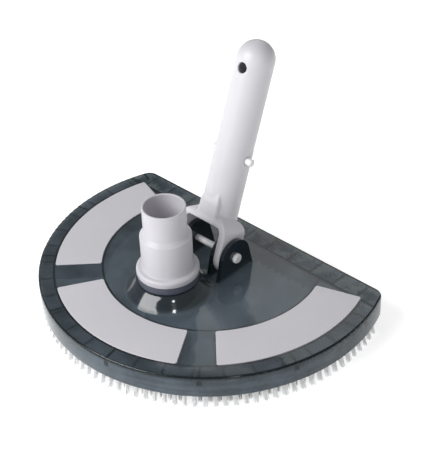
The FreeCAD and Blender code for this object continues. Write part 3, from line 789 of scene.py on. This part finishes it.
def screwTree():
    make = screwMake
    tree, given = openTree("coverScrew", {
        "Places": "Geometry", "Head Radius": "Float", "Head Height": "Float", "Shank Radius": "Float",
        "Length": "Float", "Thread Pitch": "Float", "Thread Depth": "Float", "Slot Width": "Float",
        "Slot Length": "Float", "Slot Depth": "Float", "Seed": "Int", "Screw Finish": "Material",
    })

    def lifted(geometry, height):
        lift = tree.combine(z=height)
        return tree.node("GeometryNodeTransform", None, {"Geometry": geometry, "Translation": lift})

    def cone(sides, bottom, top, depth):
        return tree.node("GeometryNodeMeshCone", None,
                         {"Vertices": sides, "Radius Bottom": bottom, "Radius Top": top, "Depth": depth})

    # the head hangs below the seat with its cross on the underside, the shank stands above it
    headRound, width, length = given["Head Radius"], given["Slot Width"], given["Slot Length"]
    head = cone(make["headSides"], headRound * make["headTaper"], headRound, given["Head Height"])
    sizes = [tree.combine(*flat, given["Slot Depth"] * 2.0) for flat in ((width, length), (length, width))]
    slots = [tree.node("GeometryNodeMeshCube", None, {"Size": size}) for size in sizes]
    crossed = tree.node("GeometryNodeMeshBoolean", {"operation": "DIFFERENCE"},
                        {"Mesh 1": head, "Mesh 2": slots})
    headDown = lifted(crossed, given["Head Height"] * -1.0)

    ridges = tree.maths("FLOOR", given["Length"] / given["Thread Pitch"])
    line = tree.node("GeometryNodeMeshLine", None,
                     {"Count": ridges, "Offset": tree.combine(z=given["Thread Pitch"])})
    crest = given["Shank Radius"]
    valley = crest - given["Thread Depth"]
    rise = given["Thread Pitch"] * 0.5
    lower = cone(make["shankSides"], valley, crest, rise)
    upper = lifted(cone(make["shankSides"], crest, valley, rise), rise)
    ridge = tree.node("GeometryNodeJoinGeometry", None, {0: [lower, upper]})
    thread = tree.node("GeometryNodeInstanceOnPoints", None, {"Points": line, "Instance": ridge})
    screw = tree.node("GeometryNodeJoinGeometry", None, {0: [headDown, thread]})
    turn = tree.node("FunctionNodeRandomValue", {"data_type": "FLOAT_VECTOR"},
                     {"Min": (0.0, 0.0, 0.0), "Max": (0.0, 0.0, make["anyTurn"]), "Seed": given["Seed"]})
    placed = tree.node("GeometryNodeInstanceOnPoints", None,
                       {"Points": given["Places"], "Instance": screw, "Rotation": turn})
    real = tree.node("GeometryNodeRealizeInstances", None, {"Geometry": placed})
    return closeTree(tree, real, given["Screw Finish"])


def screwBoxes():
    # the low and high corner of each loose solid in the CAD group of screws
    merged = mergedCopy("panel_screws")
    waiting = set(merged.verts)
    boxes = []
    while waiting:
        island, edge = [], [waiting.pop()]
        while edge:
            vertex = edge.pop()
            island.append(vertex.co.copy())
            for link in vertex.link_edges:
                other = link.other_vert(vertex)
                if other in waiting:
                    waiting.remove(other)
                    edge.append(other)
        low = Vector([min(co[axis] for co in island) for axis in range(3)])
        high = Vector([max(co[axis] for co in island) for axis in range(3)])
        boxes.append((low, high))
    merged.free()
    return sorted(boxes, key=lambda box: (round(box[0].x, 4), round(box[0].y, 4)))


def makeScrews():
    make = screwMake
    boxes = screwBoxes()
    low, high = boxes[0]
    places = [((a.x + b.x) / 2, (a.y + b.y) / 2, a.z + make["headHeight"]) for a, b in boxes]
    mesh = bpy.data.meshes.new("screwPlaces")
    mesh.from_pydata(places, [], [])
    draft = addPiece("screwPlaces", mesh, screwSteel)
    addTree(draft, "coverScrews", screwTree(), {
        "Head Radius": make["headRadius"], "Head Height": make["headHeight"],
        "Shank Radius": make["shankRadius"], "Length": high.z - low.z - make["headHeight"],
        "Thread Pitch": make["threadPitch"], "Thread Depth": make["threadDepth"],
        "Slot Width": make["slotWidth"], "Slot Length": make["slotLength"], "Slot Depth": make["slotDepth"],
        "Seed": make["seed"], "Screw Finish": screwSteel,
    })
    screws = addPiece("coverScrews", meshOf(draft), screwSteel)
    dropPiece(draft)
    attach(screws, "head")
    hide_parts("panel_screws")
    return len(places)


print("screws made:", makeScrews())

studio = {
    "floorSize": 8.0,
    "paperTone": 0.82,
    "paperGlow": 0.66,
    "fibre": (240.0, 4.0),
    "fibreTone": 0.01,
    "skyLevel": 0.29,
}
# where the camera stands, as azimuth and elevation seen from the middle of the round front
view = {
    "azimuth": 45.24, "elevation": 36.26, "roll": -2.61, "distance": 0.97723,
    "across": -1.32 * mm, "up": 25.33 * mm, "lens": 109.64, "sensor": 36,
}
# lamps stand round the same middle; their azimuth is from the camera's, negative to its left
lamps = {
    "keyBox": {"azimuth": -64, "elevation": 38, "distance": 1.6, "size": 1.1, "power": 22.4},
    "deckSheen": {"azimuth": 161, "elevation": 36, "distance": 1.2, "size": 0.7, "power": 1.35,
                  "sheenOnly": True},
    "streakLamp": {"azimuth": 10, "elevation": 44, "distance": 1.2, "size": 0.10, "power": 0.7},
}


def makeFloor():
    mesh = bpy.data.meshes.new("studioFloor")
    half = studio["floorSize"] / 2
    corners = [(-half, -half, 0), (half, -half, 0), (half, half, 0), (-half, half, 0)]
    mesh.from_pydata(corners, [], [(0, 1, 2, 3)])
    finish = Finish("studioPaper", {
        "IOR": 1.3, "Specular IOR Level": 0.1, "Roughness": 0.9,
        "Emission Color": grey(1.0), "Emission Strength": studio["paperGlow"],
    })
    fibre = finish.noise(*studio["fibre"])
    tone = studio["paperTone"]
    finish.wire("Base Color", finish.colourMix(fibre, grey(tone - studio["fibreTone"]), grey(tone)))
    floor = addPiece("studioFloor", mesh, finish.material)


def towards(azimuth, elevation):
    # unit vector from the head to a place at that azimuth and elevation, in degrees
    turn, lift = math.radians(azimuth), math.radians(elevation)
    return Vector((math.sin(turn) * math.cos(lift), -math.cos(turn) * math.cos(lift), math.sin(lift)))


def makeCamera(aim):
    away = towards(view["azimuth"], view["elevation"])
    level = towards(view["azimuth"] + 90, 0)
    upright = away.cross(level)
    roll = math.radians(view["roll"])
    right = level * math.cos(roll) + upright * math.sin(roll)
    up = upright * math.cos(roll) - level * math.sin(roll)
    place = aim + away * view["distance"] + right * view["across"] + up * view["up"]
    data = bpy.data.cameras.new("camera")
    data.sensor_fit = "HORIZONTAL"
    data.sensor_width = view["sensor"]
    data.lens = view["lens"]
    camera = bpy.data.objects.new("camera", data)
    bpy.context.scene.collection.objects.link(camera)
    axes = Matrix((right, up, away)).transposed().to_4x4()
    camera.matrix_world = Matrix.Translation(place) @ axes
    bpy.context.scene.camera = camera


def addLamp(name, aim, make):
    data = bpy.data.lights.new(name, "AREA")
    data.shape = "SQUARE"
    data.size = make["size"]
    data.energy = make["power"]
    lamp = bpy.data.objects.new(name, data)
    bpy.context.scene.collection.objects.link(lamp)
    lamp.visible_camera = False
    lamp.visible_diffuse = not make.get("sheenOnly", False)
    ray = towards(view["azimuth"] + make["azimuth"], make["elevation"])
    facing = ray.to_track_quat("Z", "Y").to_matrix().to_4x4()
    lamp.matrix_world = Matrix.Translation(aim + ray * make["distance"]) @ facing


def makeLights(aim):
    sky = bpy.data.worlds.new("studioSky")
    sky.use_nodes = True
    background = sky.node_tree.nodes["Background"]
    background.inputs[0].default_value = (1, 1, 1, 1)
    background.inputs[1].default_value = studio["skyLevel"]
    bpy.context.scene.world = sky
    for name, make in lamps.items():
        addLamp(name, aim, make)


bpy.context.scene.view_settings.view_transform = "Standard"
deckMiddle = Vector((0, arcCentre.y, deckTop))
makeFloor()
makeCamera(deckMiddle)
makeLights(deckMiddle)
print("studio set")
